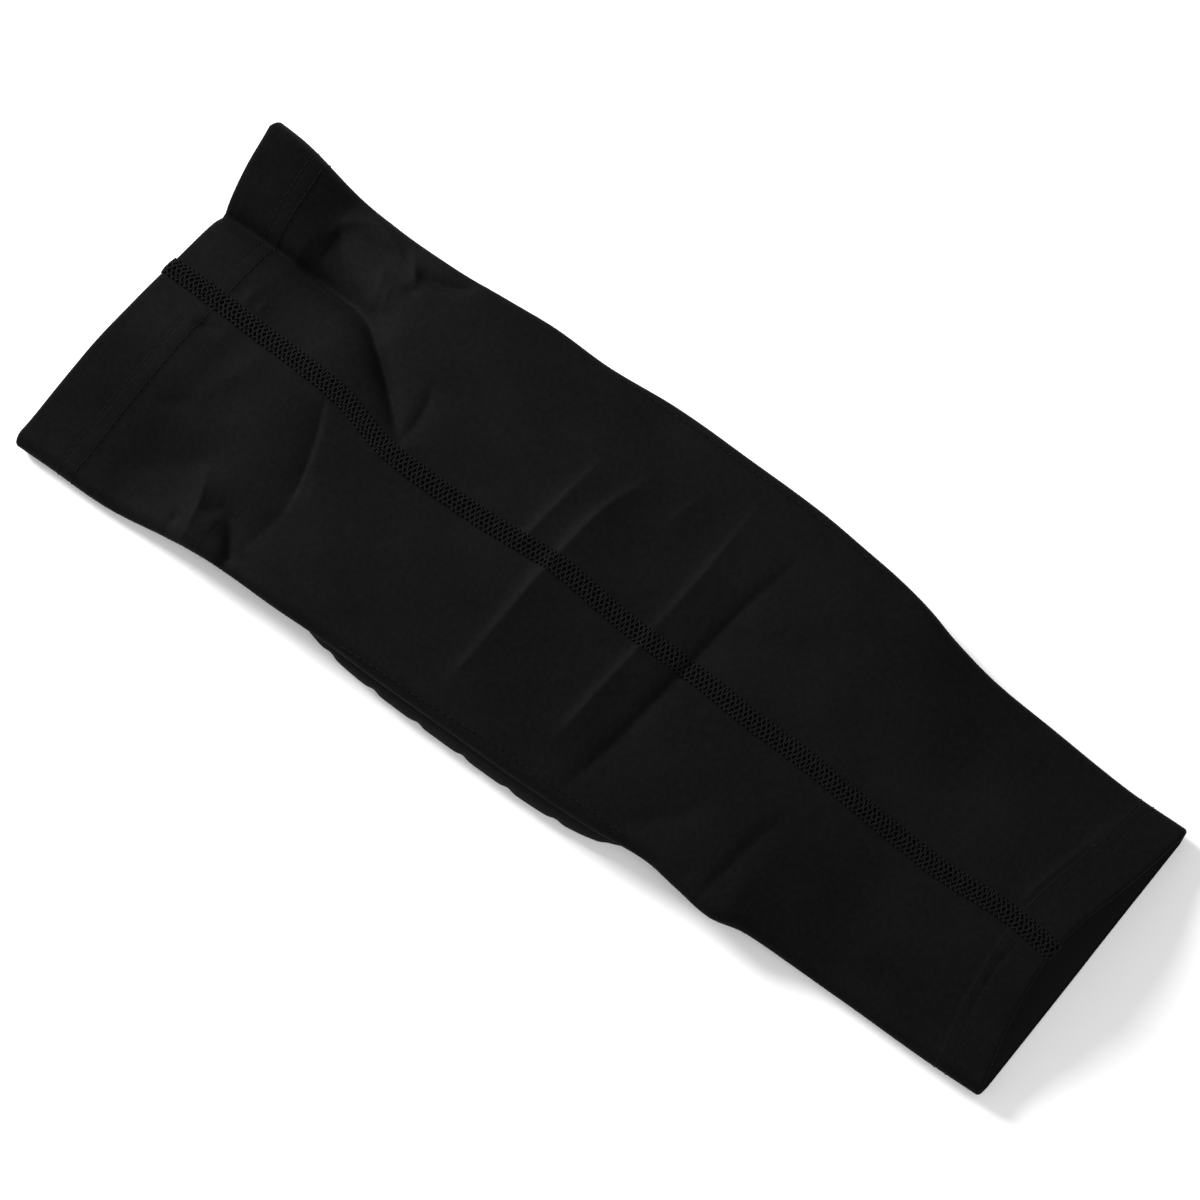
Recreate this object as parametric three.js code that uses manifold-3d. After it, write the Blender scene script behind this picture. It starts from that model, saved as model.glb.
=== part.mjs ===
// Padded knee sleeve, lying on its pad with the back of the knee up.
// A panel of stretch knit is rolled into a tapered tube and closed by one flatlock seam down the back.
// Both ends are turned in as hems, and a honeycomb foam pad is sewn on the front, which faces down here.
// Units are millimetres. +Z is up, +Y runs up the leg to the thigh hem, and the origin is on the floor.
import * as THREE from "three";
import { mergeVertices } from "three/addons/utils/BufferGeometryUtils.js";
import Module from "manifold-3d";

const wasm = await Module();
wasm.setup();

// Cloth and sewing
const WALL = 1.2; // the knit
const CLEARANCE = 0.3; // between pieces that lie on each other
const SIDE_RADIUS = 4; // the soft bend at each side of the flattened tube
const PARTING = 0.62; // the knit is parted under each side bend, at this share of its half turn
const PARTING_GAP = 0.45;
const SEAM_WIDTH = 6.2; // flatlock of four needles
const SEAM_THICKNESS = 0.8;
const BUTT_GAP = 0.6; // between the two cut edges under the seam
const HEM_WALL = 1.0; // the layer that is turned in
const CALF_HEM = -181.6; // where the hems lie at the middle of the sleeve
const THIGH_HEM = 178;
const CALF_HEM_DEPTH = 18;
const THIGH_HEM_DEPTH = 20;

// Pad
const PAD_HALF_WIDTH = 63.6;
const PAD_HALF_LENGTH = 82;
const PAD_CENTRE = { x: 0.9, y: 16 };
const PAD_SQUARENESS = 4; // exponent of the superellipse that the pad is cut to
const PAD_OUTLINE_SIDES = 36;
const BACKING = 2.4;
const BACKING_INSET = 0.8; // the cells stand out past the backing by this
const CELL_HEIGHT = 5.6;
const CELL_PITCH = 17.2;
const CELL_GAP = 3;
const CELL_DRAFT = 1.1; // how far a cell's face is drawn in from its root
const CELL_ROOT = 0.5; // how deep a cell is fused into the backing
const SMALLEST_CELL = 0.3; // a cell cut smaller than this share of a whole one is left out
const FIRST_CELL = { x: -57, y: 1 };
const PAD_STACK = CELL_HEIGHT + BACKING + CLEARANCE;

// How far along the sleeve it stays up on the pad, and where it is down on the floor again
const LIFTED = { calfFloor: -122, calfPad: -74, thighPad: 103, thighFloor: 146 };
// The right corner of the thigh end has curled up off the floor
const CURLED_CORNER = { height: 12, x: 20, acrossReach: 44, along: 118, alongReach: 46 };

// Sections along the flattened tube: its side edges, the seam's place and the rise of the back
const SECTIONS = [
  { along: -182, left: -53.2, right: 51.0, seam: -6.3, rise: 11.2 },
  { along: -160, left: -54.0, right: 50.6, seam: -4.8, rise: 10.8 },
  { along: -130, left: -54.2, right: 52.6, seam: -5.9, rise: 10.4 },
  { along: -108, left: -54.7, right: 54.0, seam: -5.2, rise: 9.6 },
  { along: -92, left: -55.8, right: 56.3, seam: -4.3, rise: 6.8 },
  { along: -81, left: -58.5, right: 58.9, seam: -3.6, rise: 5.2 },
  { along: -68, left: -57.3, right: 61.2, seam: -3.1, rise: 4.8 },
  { along: -55, left: -56.0, right: 62.6, seam: -3.0, rise: 4.6 },
  { along: -36, left: -58.0, right: 64.3, seam: -1.8, rise: 4.6 },
  { along: -10, left: -59.3, right: 64.8, seam: -1.5, rise: 4.8 },
  { along: 20, left: -59.7, right: 64.9, seam: 0.6, rise: 5.0 },
  { along: 45, left: -60.0, right: 62.9, seam: -1.0, rise: 5.0 },
  { along: 66, left: -59.8, right: 63.2, seam: -1.6, rise: 5.2 },
  { along: 84, left: -60.4, right: 61.8, seam: -1.0, rise: 5.6 },
  { along: 104, left: -60.5, right: 60.2, seam: 3.8, rise: 7.2 },
  { along: 124, left: -62.1, right: 60.6, seam: 5.2, rise: 10.2 },
  { along: 146, left: -65.2, right: 62.2, seam: 5.8, rise: 12.4 },
  { along: 166, left: -65.6, right: 65.4, seam: 6.3, rise: 13.0 },
  { along: 183, left: -66.2, right: 65.4, seam: 6.0, rise: 13.2 },
];

// How far the edges of the hems lie past their middle lines, at places across
const THIGH_EDGE = [
  { x: -66, back: 5.2, front: 4.6 },
  { x: -37, back: 2.2, front: 1.0 },
  { x: -10, back: -1.0, front: -2.0 },
  { x: 12, back: -2.8, front: -3.8 },
  { x: 28, back: -3.3, front: -4.4 },
  { x: 45, back: -2.3, front: -3.5 },
  { x: 56, back: -1.2, front: -2.1 },
  { x: 66, back: 0.2, front: -0.3 },
];
const CALF_EDGE = [
  { x: -53, back: 3.2, front: 2.9 },
  { x: -42, back: 6.2, front: 2.3 },
  { x: -28, back: 9.2, front: 1.5 },
  { x: -8, back: 10.8, front: 0.4 },
  { x: 6, back: 8.7, front: -0.3 },
  { x: 21, back: 4.5, front: -1.1 },
  { x: 33, back: 1.4, front: -1.8 },
  { x: 51, back: -2.4, front: -2.8 },
];
const EDGE_REACH = 62; // how far from an end the shape of its edge dies out

// Folds of the back wall, each on a curve from one point to another, pulled towards a third.
// Height is up from the smooth back. Left and right are how far a fold spreads to each side of its run.
const FOLDS = [
  { name: "thigh crease", from: [31, 204], pull: [45, 120], to: [3, 82], height: -8, left: 8, right: 7 },
  { name: "lobe crest", from: [42, 142], pull: [64, 144], to: [52, 110], height: 2, left: 4, right: 6 },
  { name: "crease lip", from: [43, 132], pull: [35, 106], to: [11, 86], height: 3, left: 8, right: 4.5 },
  { name: "side dent", from: [48, 116], pull: [52, 105], to: [60, 94], height: -2.2, left: 4.5, right: 5 },
  { name: "curl pocket", from: [-52, 126], pull: [-36, 113], to: [-60, 102], height: -4, left: 4, right: 4.5 },
  { name: "curl rim", from: [-58, 121], pull: [-36, 128], to: [-42, 104], height: 2.2, left: 5, right: 4 },
  { name: "pull ridge", from: [0, 108], pull: [-14, 103], to: [-32, 98], height: 1.8, left: 4, right: 4.5 },
  { name: "knee ridge", from: [-38, 26], pull: [4, 23], to: [44, 14], height: 1.6, left: 4, right: 4 },
  { name: "lower ridge", from: [-44, -11], pull: [2, -15], to: [48, -20], height: 1.5, left: 4.5, right: 4 },
  { name: "knee hollow", from: [-52, -23], pull: [0, -30], to: [50, -39], height: -2.4, left: 4.5, right: 5 },
  { name: "calf dent", from: [-64, -73], pull: [-42, -75], to: [-20, -84], height: -2.6, left: 6, right: 6 },
];
const FOLD_STEPS = 14; // straight pieces that a fold's curve is measured on
const FOLD_FADE = 0.16; // share of a fold's run over which it fades at each end

// Rows along the sleeve, closer where it folds
const ROW_ZONES = [
  { to: CALF_HEM + CALF_HEM_DEPTH, steps: 2 },
  { to: -60, steps: 9 },
  { to: 36, steps: 16 },
  { to: 80, steps: 4 },
  { to: THIGH_HEM - THIGH_HEM_DEPTH, steps: 15 },
  { to: THIGH_HEM, steps: 2 },
];
const HEM_ROWS = 3;
const BACK_STEPS = 10; // columns from the seam's edge to a side bend
const FRONT_STEPS = 5;
// Columns round a side bend, as shares of its half turn from the back wall to the front
const HALF_GAP = PARTING_GAP / (2 * Math.PI * SIDE_RADIUS);
const BEND_TURNS = [0, 0.25, 0.5, PARTING - HALF_GAP, PARTING + HALF_GAP, 0.8, 1];
const FIRST_FRONT_COLUMN = 1 + BACK_STEPS + 4;

const smooth = (t) => {
  const s = THREE.MathUtils.clamp(t, 0, 1);
  return s * s * (3 - 2 * s);
};

// One column of a table, on a smooth curve through its rows, which are in the order of their key.
function follow(table, key, column, at) {
  const last = table.length - 1;
  const next = table.findIndex((row) => row[key] >= at);
  const i = THREE.MathUtils.clamp(next < 0 ? last - 1 : next - 1, 0, last - 1);
  const slope = (k) => {
    const a = table[Math.max(k - 1, 0)];
    const b = table[Math.min(k + 1, last)];
    return (b[column] - a[column]) / (b[key] - a[key]);
  };
  const [low, high] = [table[i], table[i + 1]];
  const span = high[key] - low[key];
  const t = (at - low[key]) / span;
  const [t2, t3] = [t * t, t * t * t];
  return (
    (2 * t3 - 3 * t2 + 1) * low[column] +
    (t3 - 2 * t2 + t) * span * slope(i) +
    (3 * t2 - 2 * t3) * high[column] +
    (t3 - t2) * span * slope(i + 1)
  );
}

const section = (column, along) => follow(SECTIONS, "along", column, along);

// How high the underside of the front wall lies.
function lift(x, along) {
  const up = smooth((along - LIFTED.calfFloor) / (LIFTED.calfPad - LIFTED.calfFloor));
  const down = smooth((along - LIFTED.thighPad) / (LIFTED.thighFloor - LIFTED.thighPad));
  const corner =
    smooth((x - CURLED_CORNER.x) / CURLED_CORNER.acrossReach) *
    smooth((along - CURLED_CORNER.along) / CURLED_CORNER.alongReach);
  return PAD_STACK * up * (1 - down) + CURLED_CORNER.height * corner;
}

// The runs of the folds as points on their curves.
const foldRuns = FOLDS.map((fold) => {
  const [from, pull, to] = [fold.from, fold.pull, fold.to].map((p) => new THREE.Vector2(...p));
  return new THREE.QuadraticBezierCurve(from, pull, to).getPoints(FOLD_STEPS);
});

// Height that one fold adds at a place on the back.
function foldHeight(fold, run, place) {
  let nearest = { distance: Infinity };
  for (let k = 0; k < FOLD_STEPS; k++) {
    const piece = new THREE.Vector2().subVectors(run[k + 1], run[k]);
    const away = new THREE.Vector2().subVectors(place, run[k]);
    const share = THREE.MathUtils.clamp(away.dot(piece) / piece.lengthSq(), 0, 1);
    const distance = away.clone().addScaledVector(piece, -share).length();
    if (distance < nearest.distance) {
      nearest = { distance, run: (k + share) / FOLD_STEPS, left: piece.cross(away) > 0 };
    }
  }
  const reach = nearest.left ? fold.left : fold.right;
  const fade = smooth(nearest.run / FOLD_FADE) * smooth((1 - nearest.run) / FOLD_FADE);
  return fold.height * fade * Math.exp(-((nearest.distance / reach) ** 2));
}

// Where a row lies at a given place across, because the edges of the hems aren't straight.
function rowAlong(along, x, wall) {
  const atThigh = smooth((along - THIGH_HEM + EDGE_REACH) / EDGE_REACH);
  const atCalf = smooth((CALF_HEM + EDGE_REACH - along) / EDGE_REACH);
  return along + atThigh * follow(THIGH_EDGE, "x", wall, x) + atCalf * follow(CALF_EDGE, "x", wall, x);
}

// A point of the outer face of the back wall.
function backPoint(x, along) {
  const [left, right] = [section("left", along) + SIDE_RADIUS, section("right", along) - SIDE_RADIUS];
  const across = (2 * x - left - right) / (right - left);
  const bow = Math.max(0, 1 - across * across) ** 1.5;
  const place = new THREE.Vector2(x, along);
  const folds = FOLDS.reduce((sum, fold, k) => sum + foldHeight(fold, foldRuns[k], place), 0);
  const fadeAtSides = smooth(4 * (1 - Math.abs(across)));
  const z = lift(x, along) + 2 * SIDE_RADIUS + section("rise", along) * bow + folds * fadeAtSides;
  return new THREE.Vector3(x, rowAlong(along, x, "back"), z);
}

// Half a turn round a side bend, from the back wall to the front or from the front to the back.
function bendPoints(along, side) {
  const centre = side > 0 ? section("right", along) - SIDE_RADIUS : section("left", along) + SIDE_RADIUS;
  const back = rowAlong(along, centre, "back");
  const front = rowAlong(along, centre, "front");
  const turns = side > 0 ? BEND_TURNS : BEND_TURNS.toReversed();
  return turns.map((turn) => {
    const x = centre + side * SIDE_RADIUS * Math.sin(Math.PI * turn);
    const z = lift(centre, along) + SIDE_RADIUS * (1 + Math.cos(Math.PI * turn));
    return new THREE.Vector3(x, THREE.MathUtils.lerp(back, front, turn), z);
  });
}

// One row of the outer face, from the seam to the right, under the front wall and back to the seam.
function ring(along) {
  const seam = section("seam", along);
  const [left, right] = [section("left", along) + SIDE_RADIUS, section("right", along) - SIDE_RADIUS];
  const half = (side) => {
    const near = seam + (side * SEAM_WIDTH) / 2 + side * CLEARANCE;
    const far = side > 0 ? right : left;
    const row = [backPoint(seam + (side * BUTT_GAP) / 2, along)];
    for (let k = 0; k < BACK_STEPS; k++) {
      row.push(backPoint(THREE.MathUtils.lerp(near, far, k / BACK_STEPS), along));
    }
    return row;
  };
  const front = [];
  for (let k = 1; k < FRONT_STEPS; k++) {
    const x = THREE.MathUtils.lerp(right, left, k / FRONT_STEPS);
    front.push(new THREE.Vector3(x, rowAlong(along, x, "front"), lift(x, along)));
  }
  return [...half(1), ...bendPoints(along, 1), ...front, ...bendPoints(along, -1), ...half(-1).reverse()];
}

// The rows' places along the sleeve.
function rowPlaces() {
  const places = [CALF_HEM];
  for (const zone of ROW_ZONES) {
    const start = places.at(-1);
    for (let k = 1; k <= zone.steps; k++) {
      places.push(THREE.MathUtils.lerp(start, zone.to, k / zone.steps));
    }
  }
  return places;
}

const outerFace = rowPlaces().map(ring);

// The way that a line runs at a point between two others, which may be at unlike distances.
function direction(before, here, after) {
  if (!before || !after) {
    return new THREE.Vector3().subVectors(after ?? here, before ?? here);
  }
  const [near, far] = [here.distanceTo(before), after.distanceTo(here)];
  const ahead = after.clone().sub(here).multiplyScalar(near / far);
  return here.clone().sub(before).multiplyScalar(far / near).add(ahead);
}

// Outward normals of a face given as rows of points.
function normals(face) {
  return face.map((row, r) =>
    row.map((point, c) => {
      const across = direction(row[c - 1], point, row[c + 1]);
      const up = direction(face[r - 1]?.[c], point, face[r + 1]?.[c]);
      return across.cross(up).normalize();
    }),
  );
}

const outerNormals = normals(outerFace);

// The outer face moved out by a distance, or in where it is negative, over some of its rows.
function offsetFace(distance, firstRow, lastRow) {
  return outerFace
    .slice(firstRow, lastRow)
    .map((row, r) => row.map((p, c) => p.clone().addScaledVector(outerNormals[firstRow + r][c], distance)));
}

// A closed wall between an outer and an inner face with the same rows and columns.
function wallGeometry(outer, inner) {
  const [rows, columns] = [outer.length, outer[0].length];
  const points = [...outer.flat(), ...inner.flat()];
  const index = [];
  const quad = (a, b, c, d) => index.push(a, b, c, a, c, d);
  const out = (r, c) => r * columns + c;
  const inn = (r, c) => rows * columns + r * columns + c;
  for (let r = 0; r + 1 < rows; r++) {
    for (let c = 0; c + 1 < columns; c++) {
      quad(out(r, c), out(r, c + 1), out(r + 1, c + 1), out(r + 1, c));
      quad(inn(r, c), inn(r + 1, c), inn(r + 1, c + 1), inn(r, c + 1));
    }
    const end = columns - 1;
    quad(out(r, 0), out(r + 1, 0), inn(r + 1, 0), inn(r, 0));
    quad(out(r, end), inn(r, end), inn(r + 1, end), out(r + 1, end));
  }
  for (let c = 0; c + 1 < columns; c++) {
    const end = rows - 1;
    quad(out(0, c), inn(0, c), inn(0, c + 1), out(0, c + 1));
    quad(out(end, c), out(end, c + 1), inn(end, c + 1), inn(end, c));
  }
  return new THREE.BufferGeometry().setFromPoints(points).setIndex(index);
}

// A strip of the knit panel, which is rolled into a tube with its cut edges butted at the back.
function knitStrip(firstColumn, endColumn) {
  const strip = (face) => face.map((row) => row.slice(firstColumn, endColumn));
  return wallGeometry(strip(outerFace), strip(offsetFace(-WALL, 0, outerFace.length)));
}

// The layer of an end that is turned in and lies against the inside of the panel.
function turnedHem(firstRow, lastRow) {
  const out = WALL + CLEARANCE;
  return wallGeometry(offsetFace(-out, firstRow, lastRow), offsetFace(-out - HEM_WALL, firstRow, lastRow));
}

// The flatlock band, which lies over both cut edges for the whole length.
function backSeam() {
  const layer = (height) =>
    outerFace.map((row, r) => {
      const raised = (c) => row[c].clone().addScaledVector(outerNormals[r][c], height);
      const middle = raised(0).lerp(raised(row.length - 1), 0.5);
      return [raised(row.length - 2), middle, raised(1)];
    });
  return wallGeometry(layer(CLEARANCE + SEAM_THICKNESS), layer(CLEARANCE));
}

// The superellipse that the pad is cut to, drawn in by an inset.
function padOutline(inset) {
  const reach = (value, power) => Math.sign(value) * Math.abs(value) ** power;
  return Array.from({ length: PAD_OUTLINE_SIDES }, (_, k) => {
    const turn = (2 * Math.PI * (k + 0.5)) / PAD_OUTLINE_SIDES;
    const x = (PAD_HALF_WIDTH - inset) * reach(Math.cos(turn), 2 / PAD_SQUARENESS);
    const y = (PAD_HALF_LENGTH - inset) * reach(Math.sin(turn), 2 / PAD_SQUARENESS);
    return new THREE.Vector2(PAD_CENTRE.x + x, PAD_CENTRE.y + y);
  });
}

// A hexagon with flats towards its neighbours along Y.
function hexagon(centre, flats) {
  return Array.from({ length: 6 }, (_, k) => {
    const corner = new THREE.Vector2(flats / 2 / Math.cos(Math.PI / 6), 0);
    return corner.rotateAround(new THREE.Vector2(), (k * Math.PI) / 3).add(centre);
  });
}

// What is left of a polygon inside a convex outline, both anticlockwise.
function clip(polygon, outline) {
  return outline.reduce((kept, start, k) => {
    const edge = outline[(k + 1) % outline.length].clone().sub(start);
    const side = (p) => edge.cross(p.clone().sub(start));
    return kept.flatMap((p, i) => {
      const next = kept[(i + 1) % kept.length];
      const [here, there] = [side(p), side(next)];
      const crossing = here * there < 0 ? [p.clone().lerp(next, here / (here - there))] : [];
      return here >= 0 ? [p, ...crossing] : crossing;
    });
  }, polygon);
}

// A block between a polygon and the same polygon drawn in towards its middle at its face below.
function cellGeometry(polygon, faceZ, rootZ) {
  const middle = polygon.reduce((sum, p) => sum.add(p), new THREE.Vector2()).divideScalar(polygon.length);
  const drawn = polygon.map((p) => {
    const out = p.clone().sub(middle);
    return p.clone().addScaledVector(out.normalize(), -CELL_DRAFT);
  });
  const points = [
    ...drawn.map((p) => new THREE.Vector3(p.x, p.y, faceZ)),
    ...polygon.map((p) => new THREE.Vector3(p.x, p.y, rootZ)),
  ];
  const count = polygon.length;
  const index = [];
  for (let k = 0; k < count; k++) {
    const next = (k + 1) % count;
    index.push(k, next, count + next, k, count + next, count + k);
  }
  for (let k = 1; k + 1 < count; k++) {
    index.push(0, k + 1, k, count, count + k, count + k + 1);
  }
  return new THREE.BufferGeometry().setFromPoints(points).setIndex(index);
}

function solid(geometry) {
  const bare = geometry.clone();
  bare.deleteAttribute("normal");
  bare.deleteAttribute("uv");
  const merged = mergeVertices(bare);
  const vertProperties = merged.attributes.position.array;
  const triVerts = new Uint32Array(merged.index.array);
  return new wasm.Manifold(new wasm.Mesh({ numProp: 3, vertProperties, triVerts }));
}

function geometryOf(manifold) {
  const mesh = manifold.getMesh();
  const position = new THREE.BufferAttribute(mesh.vertProperties, 3);
  return new THREE.BufferGeometry()
    .setAttribute("position", position)
    .setIndex(new THREE.BufferAttribute(mesh.triVerts, 1));
}

// The hexagons of the honeycomb, cut off at the pad's outline.
function honeycomb() {
  const outline = padOutline(0);
  const columnPitch = CELL_PITCH * Math.cos(Math.PI / 6);
  const wholeArea = Math.abs(THREE.ShapeUtils.area(hexagon(new THREE.Vector2(), CELL_PITCH - CELL_GAP)));
  const cells = [];
  for (let x = FIRST_CELL.x, odd = 0; x < PAD_CENTRE.x + PAD_HALF_WIDTH; x += columnPitch, odd = 1 - odd) {
    const stagger = (odd * CELL_PITCH) / 2;
    const rows = Math.ceil(PAD_HALF_LENGTH / CELL_PITCH) + 1;
    for (let k = -rows; k <= rows; k++) {
      const centre = new THREE.Vector2(x, FIRST_CELL.y + stagger + k * CELL_PITCH);
      const cell = clip(hexagon(centre, CELL_PITCH - CELL_GAP), outline);
      if (cell.length > 2 && Math.abs(THREE.ShapeUtils.area(cell)) > SMALLEST_CELL * wholeArea) {
        cells.push(cell);
      }
    }
  }
  return cells;
}

// Foam cells fused to a backing sheet, with their faces on the floor.
function kneePad() {
  const sheet = new THREE.ExtrudeGeometry(new THREE.Shape(padOutline(BACKING_INSET)), {
    depth: BACKING,
    bevelEnabled: false,
  }).translate(0, 0, CELL_HEIGHT);
  const cells = honeycomb().map((cell) => solid(cellGeometry(cell, 0, CELL_HEIGHT + CELL_ROOT)));
  return geometryOf(cells.reduce((pad, cell) => pad.add(cell), solid(sheet)));
}

function cloth(color, roughness) {
  return new THREE.MeshStandardMaterial({ color, roughness, metalness: 0 });
}

const knit = cloth(0x171717, 0.8);
const thread = cloth(0x0f0f0f, 0.7);
const padCover = cloth(0x151515, 0.85);

const kneeSleeve = new THREE.Group();
const rowCount = outerFace.length;
const columnCount = outerFace[0].length;
const endFrontColumn = columnCount - FIRST_FRONT_COLUMN;
const pieces = [
  ["sleeve_back_right", knitStrip(0, FIRST_FRONT_COLUMN), knit],
  ["sleeve_front", knitStrip(FIRST_FRONT_COLUMN, endFrontColumn), knit],
  ["sleeve_back_left", knitStrip(endFrontColumn, columnCount), knit],
  ["back_seam", backSeam(), thread],
  ["thigh_hem", turnedHem(rowCount - HEM_ROWS, rowCount), knit],
  ["calf_hem", turnedHem(0, HEM_ROWS), knit],
  ["knee_pad", kneePad(), padCover],
];
for (const [name, geometry, material] of pieces) {
  const mesh = new THREE.Mesh(geometry, material);
  mesh.name = name;
  kneeSleeve.add(mesh);
}

export default kneeSleeve;
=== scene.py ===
import math

import bpy
import numpy as np
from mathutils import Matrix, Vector
from mathutils.bvhtree import BVHTree
from mathutils.geometry import delaunay_2d_cdt


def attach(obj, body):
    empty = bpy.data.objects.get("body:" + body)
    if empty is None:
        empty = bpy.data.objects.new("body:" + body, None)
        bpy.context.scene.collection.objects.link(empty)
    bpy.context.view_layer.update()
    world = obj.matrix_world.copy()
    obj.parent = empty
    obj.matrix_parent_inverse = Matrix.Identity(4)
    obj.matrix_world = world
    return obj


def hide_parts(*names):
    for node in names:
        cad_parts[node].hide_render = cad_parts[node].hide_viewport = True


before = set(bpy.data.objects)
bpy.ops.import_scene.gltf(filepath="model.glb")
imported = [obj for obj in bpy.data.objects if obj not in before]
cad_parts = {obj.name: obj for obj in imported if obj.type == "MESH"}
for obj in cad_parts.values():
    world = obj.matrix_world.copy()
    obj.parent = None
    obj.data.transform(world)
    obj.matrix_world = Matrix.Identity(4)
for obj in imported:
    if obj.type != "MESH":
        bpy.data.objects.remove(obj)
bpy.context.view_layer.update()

# Sleeve: a panel of black nylon and elastane knit, rolled into a tube that tapers from thigh to calf.
# It lies flattened on its pad, with the back of the knee up and both ends turned in as hems.
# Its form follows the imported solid, in millimetres; creases and wrinkles of the back are pressed in here.
MM = 0.001
CLOTH = 1.0
HEM_WALL = 2.2  # the knit and the layer that is turned in
LAYER_EDGE = 0.8  # the cut edge of that layer thins out over this length
SIDE_RADIUS = 4.0  # the soft bend at each side of the flattened tube
BACK_ROUNDNESS = 1.5  # exponent of the bow across the back
SEAM_HALF_WIDTH = 3.1
CALF_HEM, THIGH_HEM = -181.6, 178.0
CALF_HEM_DEPTH, THIGH_HEM_DEPTH = 18.0, 20.0
CALF_STITCH_ROWS = (12.4, 16.6)  # how far the twin rows lie from the edge
THIGH_STITCH_ROWS = (16.0, 21.0)
STITCH_PULL, STITCH_GROOVE = 0.1, 0.6  # how deep and how wide a groove a row pulls into the knit
HEM_STEP, HEM_STEP_WIDTH = 0.3, 1.2  # how much higher the doubled cloth of a hem stands, and over what width
EDGE_REACH = 62.0  # how far from an end the shape of its edge dies out
# Where the front wall leaves the floor, lies on the pad and comes down again, and how high the pad carries it
CALF_FLOOR, CALF_PAD, THIGH_PAD, THIGH_FLOOR = -122.0, -74.0, 103.0, 146.0
PAD_STACK = 8.3
# Where the thigh corner starts to curl up, across and along, over what reach, and how high
CURL_START, CURL_REACH, CURL_RISE = (22.0, 112.0), (38.0, 76.0), 13.5

# Along the sleeve: left side, right side, seam, rise of the back
SECTIONS = np.array([
    (-182, -53.2, 51.0, -6.3, 11.2),
    (-160, -54.0, 50.6, -4.8, 10.8),
    (-130, -54.2, 52.6, -5.9, 10.4),
    (-108, -54.7, 54.0, -5.2, 9.6),
    (-92, -55.8, 56.3, -4.3, 6.8),
    (-81, -58.5, 58.9, -3.6, 5.2),
    (-68, -57.3, 61.2, -3.1, 4.8),
    (-55, -56.0, 62.6, -3.0, 4.6),
    (-36, -58.0, 64.3, -1.8, 4.6),
    (-10, -59.3, 64.8, -1.5, 4.8),
    (20, -59.7, 64.9, 0.6, 5.0),
    (45, -60.0, 62.9, -1.0, 5.0),
    (66, -59.8, 63.2, -1.6, 5.2),
    (84, -60.4, 61.8, -1.0, 5.6),
    (104, -60.5, 60.2, 3.8, 6.4),
    (124, -62.1, 60.6, 5.2, 10.2),
    (146, -65.2, 62.2, 5.8, 13.2),
    (166, -65.6, 64.7, 6.3, 13.3),
    (183, -66.2, 64.9, 6.0, 13.2),
])
# Across an end: how far the edge of the back and of the front lie past its middle line
THIGH_EDGE = np.array([
    (-66, 5.2, 4.6), (-37, 2.2, 1.0), (-10, -1.4, -2.2), (12, -4.1, -4.6),
    (28, -4.6, -5.2), (45, -2.9, -3.8), (56, -2.2, -2.9), (66, -1.0, -1.5),
])
CALF_EDGE = np.array([
    (-53, 3.2, 2.9), (-42, 6.2, 2.3), (-28, 9.2, 1.5), (-8, 10.8, 0.4),
    (6, 8.7, -0.3), (21, 4.5, -1.1), (33, 1.4, -1.8), (51, -2.4, -2.8),
])
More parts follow.
